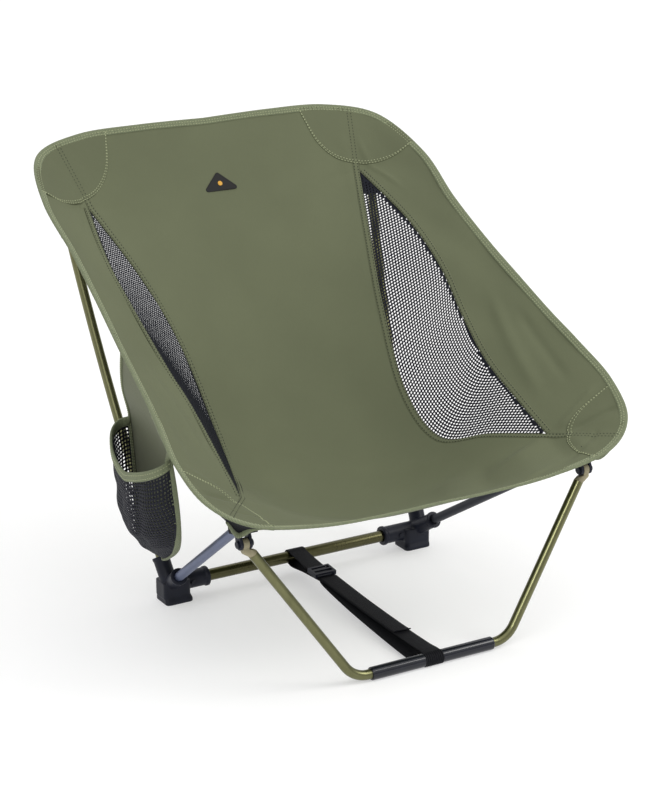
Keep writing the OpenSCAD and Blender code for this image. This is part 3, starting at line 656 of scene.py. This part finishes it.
def mesh_panels():
    """The see-through net between the centre panel and each wing."""
    pitch, v_from, v_to = 4.3, 1.05, ROWS - 1.05
    table_v = np.linspace(v_from, v_to, 400)
    a, b = inner_seam(table_v), outer_seam(table_v)
    down = distances_along((a + b) / 2)
    width = np.linalg.norm(b - a, axis=-1)
    rows = int(down[-1] // pitch)

    def v_at(row):
        return np.interp(row * pitch, down, table_v)

    def width_at(row):
        return np.interp(row * pitch, down, width)

    for side, word in SIDES:
        def corner(distance, row, side=side):
            v = v_at(row)
            a, b = inner_seam(v), outer_seam(v)
            share = (distance / np.maximum(width_at(row), 0.01))[:, None]
            normal = unit(upward(0.999 + 0 * v, v) + upward(1.001 + 0 * v, v))
            points = mix(a, b, np.clip(share, 0, 1)) - normal * 0.6
            return (points, normal) if side > 0 else (mirror(points), mirror(normal))

        columns = int(width.max() // pitch) + 1
        net(f"mesh_net_{word}", corner, rows, columns, width_at, pitch, 0.66, 0.5, f"mesh_{word}")


def tube_mesh(sections, closed=False):
    """Faces of a skin over equal closed sections; returns points and faces."""
    n, m = sections.shape[:2]
    index = np.arange(n * m).reshape(n, m)
    if closed:
        index = np.concatenate([index, index[:1]])
    a, b = index[:-1], index[1:]
    quads = np.stack([a, np.roll(a, -1, 1), np.roll(b, -1, 1), b], -1).reshape(-1, 4)
    faces = quads.tolist()
    if not closed:
        faces += [index[0, ::-1].tolist(), index[-1].tolist()]
    return sections.reshape(-1, 3), faces


def section_uvs(sections):
    around, along = distances_along(sections[0]), distances_along(sections[:, 0])
    return np.stack(np.broadcast_arrays(around[None, :], along[:, None]), -1).reshape(-1, 2)


def put_tape(name, sections):
    verts, faces = tube_mesh(sections)
    return put(name, verts, faces, "tape", "seat", section_uvs(sections))


def edge_place(t):
    """(s, v) of the edge at t."""
    s = np.where(t <= SEAM_TOP, t / SEAM_TOP,
                 np.where(t <= 3, 1 + (t - SEAM_TOP) / (3 - SEAM_TOP),
                          np.where(t <= 11, 2, np.where(t <= SEAM_FRONT, 2 - (t - 11) / (SEAM_FRONT - 11),
                                                        (EDGE_END - t) / (EDGE_END - SEAM_FRONT)))))
    v = np.where(t <= 3, 0, np.where(t <= 11, t - 3, ROWS))
    return s, v


TAPE = [(9.2, 0.1), (9.0, 0.75), (7.5, 1.0), (4.0, 0.95), (1.4, 1.15), (0.0, 1.05), (-1.0, 0.45), (-1.35, -0.6),
        (-1.0, -1.65), (0.0, -2.2), (1.4, -2.3), (4.0, -2.1), (7.5, -2.15), (9.0, -1.95), (9.2, -1.3)]


def edge_frame(t):
    """Edge points with the directions into the seat and up."""
    s, v = edge_place(np.abs(t))
    up = mirrored_where(t < 0, upward(s * 0.999, v))
    step = 0.02
    ahead = unit(edge(np.minimum(np.abs(t) + step, EDGE_END)) - edge(np.maximum(np.abs(t) - step, 0)))
    ahead[np.abs(t) < step] = [1, 0, 0]
    ahead[np.abs(t) > EDGE_END - step] = [-1, 0, 0]
    inward = unit(np.cross(mirrored_where(t < 0, ahead), up)) * np.where(t < 0, -1, 1)[:, None]
    return edge(t), inward, up


def smooth_ring(values, passes=6):
    """Softens a closed row of directions, so that the tape turns evenly."""
    for _ in range(passes):
        values = (np.roll(values, 1, 0) + 2 * values + np.roll(values, -1, 0)) / 4
    return unit(values)


def binding():
    """Tape folded over the whole edge, puckered by its stitches."""
    spacing, stitch_pitch = 2.2, 6.8
    fine = np.linspace(-EDGE_END, EDGE_END, 9000, endpoint=False)
    steps = distances_along(edge(fine))
    count = int(steps[-1] / spacing)
    t = np.interp(np.arange(count) / count * steps[-1], steps, fine)
    points, inward, up = edge_frame(t)
    inward, up = smooth_ring(inward), smooth_ring(up)
    place = np.arange(count)
    pucker = 0.1 * np.sin(place * spacing * 2 * math.pi / stitch_pitch)
    pucker = pucker + 0.12 * np.sin(place / 23) * np.sin(place / 7.3)
    sway = 0.35 * np.sin(place / 31) + 0.2 * np.sin(place / 11 + 1)
    sections = np.stack([points + (a + sway * (a > 5))[:, None] * inward
                         + (h + np.sign(h + 0.6) * pucker)[:, None] * up for a, h in TAPE], 1)
    verts, faces = tube_mesh(sections[:, ::-1], closed=True)
    piece = put("edge_binding", verts, faces, "tape", "seat", section_uvs(sections))
    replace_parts(piece, "seat_edge_tape")
    for inset in (6.9, 3.4):
        rail = points + (inset + sway)[:, None] * inward + up
        light_threads.add(np.concatenate([rail, rail[:1]]), np.concatenate([up, up[:1]]))


PATCHES = {"top": ((1.5, 3.75), ((0.6, 0), (0.74, 0.58), (1.02, 0.9), (1.5, 0.93), (2, 0.75))),
           "front": ((10.1, 12.27), ((2, 7.1), (1.45, 7.08), (1.04, 7.24), (0.86, 7.6), (0.77, 8)))}


def patches():
    """Half-moon reinforcements at the four corners, with a double stitch row along each arc."""
    for word, ((t_from, t_to), places) in PATCHES.items():
        w = np.linspace(0, 1, 71)[:, None]
        arc = curve(places, w[:, 0] * (len(places) - 1))
        outer = np.stack(edge_place(mix(t_from, t_to, w[:, 0])), -1)
        share = np.concatenate([[0, 0.012], np.linspace(0.05, 0.97, 30)])[None, :, None]
        places = mix(arc[:, None], outer[:, None], share)
        height = np.full(share.shape[1], 0.85)
        height[0], height[1] = 0.05, 0.7
        for side, name in SIDES:
            piece = raised_band(f"{word}_patch_{name}", places[..., 0], places[..., 1], height, "patch", side, 0.8)
            cut_cloth(piece)
            if side < 0:
                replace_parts(piece, f"{word}_patches")
        for inset in (0.018, 0.055):
            row = mix(arc, outer, inset)[2:-2]
            seat_rows(light_threads, row[:, 0], row[:, 1], 0.9, pitch=4.4, radius=0.55)


# ---- Side pocket ----------------------------------------------------------

PANEL_BACK = [[-299, -46, 393], [-282, -8, 335], [-258, 23, 280], [-246, 36, 196], [-239, 43, 114], [-212, 44, 80]]
PANEL_FRONT = [[-303, -119, 358], [-299, -150, 320], [-287, -152, 283], [-272, -140, 205], [-250, -92, 140],
               [-216, 14, 78]]
OUTWARD = unit(np.array([-0.96, 0.17, -0.21]))
RIM_ROW, LAST_ROW = 2, 5
POUCH_DEPTH = [(0, 45), (0.6, 48), (1, 47), (1.35, 43), (1.7, 33), (2, 21), (2.5, 10), (3, 0)]


def panel_point(a, b):
    a, b = paired(a, b)
    return mix(curve(PANEL_BACK, b), curve(PANEL_FRONT, b), a[..., None])


def pouch_point(a, b):
    """Point of the net pouch: a is 0 at the panel's back edge and 1 at its front edge, b runs down."""
    a, b = paired(a, b)
    down = b - RIM_ROW
    fan = unit(np.stack([-0.8 + 0 * a, 0.42 + 0.7 * (1 - 2 * a), -0.38 + 0 * a], -1))
    depth = np.interp(down, *zip(*POUCH_DEPTH)) * np.sqrt(np.clip(np.sin(math.pi * a), 0, 1))
    sag = 14 * np.clip(1 - np.abs(a - 0.66) / 0.34, 0, 1) * np.clip(1 - down / 1.5, 0, 1)
    full = np.clip((depth - 8) / 12, 0, 1) * np.clip(down * 2, 0, 1)
    crumple = full * (1.8 * np.sin(7 * a + 2.3 * down) * np.sin(9 * down + 3 * a)
                      - 4 * np.exp(-((a - 0.78 + 0.06 * down) / 0.05) ** 2)
                      - 3 * np.exp(-((a - 0.45 - 0.05 * down) / 0.06) ** 2))
    return (panel_point(a, b) + 2 * OUTWARD + (depth + crumple)[..., None] * fan
            - sag[..., None] * np.array([0, 0, 1.0]))


def pocket_panel():
    b, a = np.meshgrid(np.linspace(0.06, LAST_ROW, 91), np.linspace(0, 1, 25), indexing="ij")
    ripple = 1.1 * np.sin(5 * a + 1.1 * b) * np.sin(math.pi * a) * np.clip(b / 1.2, 0, 1)
    top = panel_point(a, b) + ripple[..., None] * OUTWARD
    points, faces, uvs = sheet_shell(top, grid_normals(top), 0.8)
    piece = put("pocket_panel", points, faces, "panel", "seat", uvs)
    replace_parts(piece, "side_pocket_panel")
    cut_cloth(piece)


def pocket_net():
    pitch, samples = 5.2, 200
    table = np.linspace(RIM_ROW + 0.03, LAST_ROW - 0.1, samples)
    wide = np.linspace(0, 1, 61)
    ring = pouch_point(wide[None, :], table[:, None])
    across, down = distances_across(ring), distances_along(ring[:, 30])

    def width_at(row):
        return np.interp(row * pitch, down, across[:, -1])

    def corner(distance, row):
        b = np.interp(row * pitch, down, table)
        which = np.clip(np.searchsorted(table, b), 1, samples - 1)
        share = np.array([np.interp(d, across[i], wide) for d, i in zip(distance, which)])
        h = 0.004
        path = pouch_point(np.clip(share + h, 0, 1), b) - pouch_point(np.clip(share - h, 0, 1), b)
        return pouch_point(share, b), unit(np.cross(pouch_point(share, b + h) - pouch_point(share, b - h), path))

    net("pocket_net", corner, int(down[-1] // pitch), int(across[:, -1].max() // pitch) + 1, width_at, pitch,
        0.64, 0.7, "side_pocket_mesh")


def pocket_rim():
    w = np.linspace(0, 1, 120)
    path = pouch_point(w, RIM_ROW)
    path[:, 2] += 0.8 * np.sin(w * 9) * np.sin(w * math.pi)
    out = unit(np.cross(np.gradient(path, axis=0), np.array([0, 0, 1.0])))
    up = np.array([0, 0, 1.0])
    shape = [(1.9, 1.5), (2.3, 0.6), (2.0, -3), (2.2, -9), (1.8, -10.6), (0.6, -11.2), (-0.8, -10.6), (-1.0, -3),
             (-0.8, 0.8), (0.4, 1.9)]
    sections = np.stack([path + o * out + h * up for o, h in shape], 1)
    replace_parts(put_tape("pocket_rim", sections), "side_pocket_rim")
    for h in (-2.4, -8.2):
        light_threads.add(path + out * 2.25 + h * up, out)


def pocket_tapes():
    """Tape folded over each edge of the pocket: flat on the panel above the rim, on the net below it."""
    b = np.linspace(0.02, LAST_ROW, 130)
    wave = 0.3 * np.sin(np.arange(len(b)) / 6)[:, None]
    shape = [(-1.2, 0), (-0.8, 1.2), (0.6, 1.7), (7, 1.6), (8.4, 1.2), (8.7, 0), (8.4, -1.3), (7, -1.8),
             (0.6, -1.9), (-0.8, -1.4)]
    for a, word in ((0, "back"), (1, "front")):
        line = panel_point(a, b)
        ahead = unit(np.gradient(line, axis=0))
        flat = unit(panel_point(1 - a, b) - line)
        netted = unit(pouch_point(abs(a - 0.015), b) - pouch_point(a, b))
        across = unit(mix(flat, netted, 0.8 * np.clip((b - RIM_ROW + 0.15) / 0.3, 0, 1)[:, None]))
        across = unit(across - ahead * np.sum(across * ahead, -1, keepdims=True))
        face, width = unit(np.cross(ahead, across)), 1
        if word == "back":
            face = face * np.where(np.sum(face * OUTWARD, -1, keepdims=True) > 0, 1, -1)
            width = mix(0.45, 1, np.clip(b - 3.6, 0, 1))[:, None]
        sections = np.stack([line + o * width * across + (h + wave) * face for o, h in shape], 1)
        piece = put_tape(f"pocket_tape_{word}", sections)
        if word == "front":
            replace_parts(piece, "side_pocket_tape")
        for reach in (1.6, 6.6):
            light_threads.add(line + reach * width * across + (1.75 + wave) * face, face)


def pocket_bartack():
    """Cross of thread where the pocket's front edge leaves the seat."""
    center = panel_point(0.93, 0.62) + 1.2 * OUTWARD
    along = unit(panel_point(0.93, 0.7) - panel_point(0.93, 0.5))
    across = unit(np.cross(along, OUTWARD))
    for turn in (-1, 1):
        way = unit(along + turn * across)
        light_threads.add(center + np.outer(np.linspace(-7, 7, 20), way), np.tile(OUTWARD, (20, 1)), pitch=1.6,
                          length=2.4, radius=0.45)


def side_pocket():
    pocket_panel()
    pocket_net()
    pocket_rim()
    pocket_tapes()
    pocket_bartack()


# ---- Badge, strap and front pockets ---------------------------------------


def badge():
    """Plain rounded triangle with a raised border and a small amber dot."""
    s0, v0 = -0.02, 0.88
    middle, face, lift = seat(s0, v0), upward(s0, v0), wrinkles(s0, v0)
    right = unit(seat(s0 + 0.01, v0) - seat(s0 - 0.01, v0))
    up = unit(np.cross(face, right))
    corners = np.array([(-20.5, -8.5), (20.5, -8.5), (0, 11.5)])
    outline = []
    for before, here, after in zip(np.roll(corners, 1, 0), corners, np.roll(corners, -1, 0)):
        start, end = (math.atan2(-way[0], way[1]) for way in (here - before, after - here))
        turns = np.linspace(start, end + (2 * math.pi if end < start else 0), 9)
        outline += [here + 3.2 * np.array([math.cos(t), math.sin(t)]) for t in turns]
    outline = np.array(outline)
    rings = []
    for grow, height in ((1.0, 0.1), (1.0, 0.95), (0.975, 1.15), (0.93, 1.15), (0.9, 0.95), (0.5, 1.0)):
        flat = outline * grow + np.array([0, 0.5]) * (1 - grow)
        rings.append(middle + flat[:, :1] * right + flat[:, 1:] * up + (height + lift) * face)
    verts, faces = tube_mesh(np.array(rings))
    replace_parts(put("badge_label", verts, faces, "badge", "seat", smooth=False), "badge")
    around = np.radians(np.arange(0, 360, 15))
    spokes = np.cos(around)[:, None] * right + np.sin(around)[:, None] * up
    dot = [middle - 1.2 * up + radius * spokes + (height + lift) * face
           for radius, height in ((3.4, 0.8), (3.4, 1.25), (3.0, 1.4), (0.4, 1.42))]
    verts, faces = tube_mesh(np.array(dot))
    put("badge_dot", verts, faces, "amber", "seat")


def webbing_run(path, tilt, width=25.0, thick=1.3):
    """Flat webbing along a path: tilt turns it about the path, in degrees at each point."""
    ahead = unit(np.gradient(path, axis=0))
    flat = unit(np.array([1, 0, 0]) - ahead * ahead[:, :1])
    up = unit(np.cross(flat, ahead))
    angle = np.radians(tilt)[:, None]
    side, face = flat * np.cos(angle) + up * np.sin(angle), up * np.cos(angle) - flat * np.sin(angle)
    h, t, rounding = width / 2, thick / 2, 0.6
    half = [(-h, 0.5 * t), (-h + rounding, t), (h - rounding, t), (h, 0.5 * t)]
    return np.stack([path + x * side + z * face for x, z in half + [(-x, -z) for x, z in half]], 1)


def smooth_path(points, count):
    return curve(points, np.linspace(0, len(points) - 1, count))


def put_runs(name, runs, body):
    """One webbing piece from several runs of equal sections."""
    verts, faces, uvs, total = [], [], [], 0
    for run in runs:
        points, skin = tube_mesh(run)
        verts.append(points)
        uvs.append(section_uvs(run))
        faces += [[i + total for i in face] for face in skin]
        total += len(points)
    return put(name, np.concatenate(verts), faces, "webbing", body, np.concatenate(uvs))


def strap():
    """Doubled webbing from the crossbar through the slider to the ground bar, where a ribbed wrap holds it.
    """
    bar_y, bar_z = -292.6, 8.5
    upper = smooth_path([[0, 66, 23], [0, 62.6, 30.2], [0, 55, 32.6], [0, 47, 30.4], [1, 20, 26],
                         [1, -40, 20.8]], 60)
    under = smooth_path([[0, 66, 23], [0, 62.2, 15.6], [0, 54, 13.2], [-1, 42, 12.6], [0, 12, 15.5],
                         [1, -40, 18.6]], 60)
    loop = [webbing_run(upper, np.zeros(60)), webbing_run(under, np.linspace(0, 5, 60))]
    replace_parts(put_runs("strap_webbing", loop, "frame"), "strap")

    top = smooth_path([[1, -33, 21.2], [1, -50, 20.5], [0, -120, 18.2], [0, -200, 16.6], [0, -262, 16.6],
                       [0, -284, 17.6], [0, -292.6, 17.3]], 120)
    top_run = webbing_run(top, 4 * np.sin(np.linspace(0, math.pi, 120)))
    low = smooth_path([[0, -33, 18.9], [-2, -52, 17], [-6, -120, 12.6], [-9, -200, 8.6], [-10, -262, 5.4],
                       [-8, -284, 3.4]], 120)
    low_run = webbing_run(low, -7 * np.sin(np.linspace(0.2, math.pi, 120)))
    tail = smooth_path([[1, -33, 22.9], [1, -50, 22.2], [0, -120, 19.8], [0, -200, 18.1], [0, -219, 18.6],
                        [0, -223, 20.2]], 80)
    tail_run = webbing_run(tail, 4 * np.sin(np.linspace(0, 2.4, 80)), width=24.4)
    layers = (("top", top_run, 0.069, 0), ("low", low_run, 0.006, 3.8), ("tail", tail_run, 0.079, 0))
    for name, run, keep, ahead in layers:
        piece = put_runs(f"strap_{name}_run", [run], "frame")
        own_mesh(piece)

    around, below_bar = np.linspace(0, 2 * math.pi, 49)[:-1], -8.3
    ribs = [np.array([np.stack([0 * around + x + dx, bar_y + r * np.cos(around),
                                bar_z + np.maximum(r * np.sin(around), below_bar)], -1)
                      for dx, r in ((-1.5, 8.1), (-1.1, 9.0), (0, 9.35), (1.1, 9.0), (1.5, 8.1))])
            for x in range(-12, 13, 3)]
    put_runs("strap_wrap", ribs, "front_leg")


def tape_edge(path, radius_wide, radius_thin, side_dir):
    """Rounded binding along a free path."""
    ahead = unit(np.gradient(path, axis=0))
    side = unit(side_dir - ahead * np.sum(side_dir * ahead, -1, keepdims=True))
    face = unit(np.cross(ahead, side))
    around = np.radians(np.arange(0, 360, 36))
    return np.stack([path + radius_wide * math.cos(a) * side + radius_thin * math.sin(a) * face for a in around], 1)


def front_pockets():
    """Black pockets that hold the connectors' noses under the front corners, with a bound mouth."""
    mouth = [[282, -285, 248], [276, -282, 239], [270, -279, 230], [263, -276, 223.5], [256, -276, 224],
             [249, -283, 231], [240, -294, 235.5], [228, -302, 235]]
    w = np.linspace(0, 1, 60)
    lower = curve(mouth, w * (len(mouth) - 1))
    points, inward, up = edge_frame(mix(11.32, 12.42, w))
    hem = points + 3 * inward - 2.2 * up
    b = np.linspace(0, 1, 21)[None, :, None]
    sheet = mix(hem[:, None], lower[:, None], b)
    push = np.sin(math.pi * w)[:, None, None] * np.sin(math.pi * b)
    sheet = sheet + push * np.array([-1.5, 9, -2.0])
    ripple = 1.2 * np.sin(9 * w)[:, None, None] * np.sin(math.pi * b)
    sheet = sheet + ripple * np.array([0.2, -1, 0.1])
    for side, word in SIDES:
        grid = sided(sheet.transpose(1, 0, 2), side)
        verts, faces, uvs = sheet_shell(grid, grid_normals(grid), 0.9)
        piece = put(f"front_pocket_flap_{word}", verts, faces, "webbing", "seat", uvs)
        cut_cloth(piece)
        path = sided(lower[None], side)[0]
        put_tape(f"front_pocket_loop_{word}", tape_edge(path, 3.6, 1.5, np.array([0.15 * side, 0.2, 1.0])))


# ---- Moulded and sewn fittings, rounded off from the CAD shapes -----------


def hugged(points):
    """Draws a sleeve in toward its mouth, so that it hugs the pole inside."""
    middle = points.mean(0)
    directions = np.linalg.svd(points - middle, full_matrices=False)[2]
    long, wide, deep = directions * np.sign(directions[:1, 2:])
    height = (points - middle) @ long
    share = (height - height.min()) / np.ptp(height)
    for way, least in ((wide, 0.6), (deep, 0.82)):
        points = points - ((1 - mix(least, 1, np.sqrt(share))) * ((points - middle) @ way))[:, None] * way
    return points


def rounded_off(node_name, material, body, voxel, passes, ripple=0.0):
    """Remeshed copy of a CAD node whose sharp inner corners are filled and outer ones rounded."""
    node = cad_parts[node_name]
    mesh = node.data.copy()
    mesh.transform(node.matrix_world)
    work = bpy.data.objects.new(f"{node_name}_work", mesh)
    bpy.context.scene.collection.objects.link(work)
    remesh = work.modifiers.new("remesh", "REMESH")
    remesh.mode, remesh.voxel_size = "VOXEL", voxel * MM
    smooth = work.modifiers.new("smooth", "SMOOTH")
    smooth.factor, smooth.iterations = 0.5, passes
    done = work.evaluated_get(bpy.context.evaluated_depsgraph_get()).to_mesh()
    count = len(done.vertices)
    points, normals = np.zeros(count * 3), np.zeros(count * 3)
    done.vertices.foreach_get("co", points)
    done.vertices.foreach_get("normal", normals)
    points, normals = points.reshape(-1, 3) / MM, normals.reshape(-1, 3)
    x, y, z = points.T
    wave = np.sin(0.21 * x + 0.13 * z) * np.sin(0.17 * y - 0.19 * z + 1) + 0.5 * np.sin(0.4 * z + 0.3 * y)
    points = points + ripple * wave[:, None] * normals
    if node_name.startswith("top_pocket"):
        points = hugged(points)
    faces = [tuple(f.vertices) for f in done.polygons]
    bpy.data.objects.remove(work)
    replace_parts(put(f"{node_name}_shape", points, faces, material, body), node_name)


def fittings():
    for _, side in SIDES:
        rounded_off(f"hub_{side}", "nylon", "frame", 0.8, 6)
        rounded_off(f"connector_{side}", "nylon", "frame", 0.45, 5)
        rounded_off(f"leg_knuckle_{side}", "fitting", "front_leg", 0.45, 5)
        rounded_off(f"top_pocket_{side}", "webbing", "seat", 0.6, 12, 0.5)
        rounded_off(f"front_pocket_{side}", "webbing", "seat", 0.6, 12, 0.3)


camera()
studio()
dress_frame()
seat_panel("seat_cloth_center", -1, 1, 161, "seat_center")
seat_panel("seat_cloth_left", -2, -1.0001, 61, "seat_side_left")
seat_panel("seat_cloth_right", 1.0001, 2, 61, "seat_side_right")
seams()
mesh_panels()
binding()
patches()
side_pocket()
badge()
strap()
front_pockets()
fittings()
light_threads.finish("light_stitches", "thread")
dark_threads.finish("dark_stitches", "dark_thread")
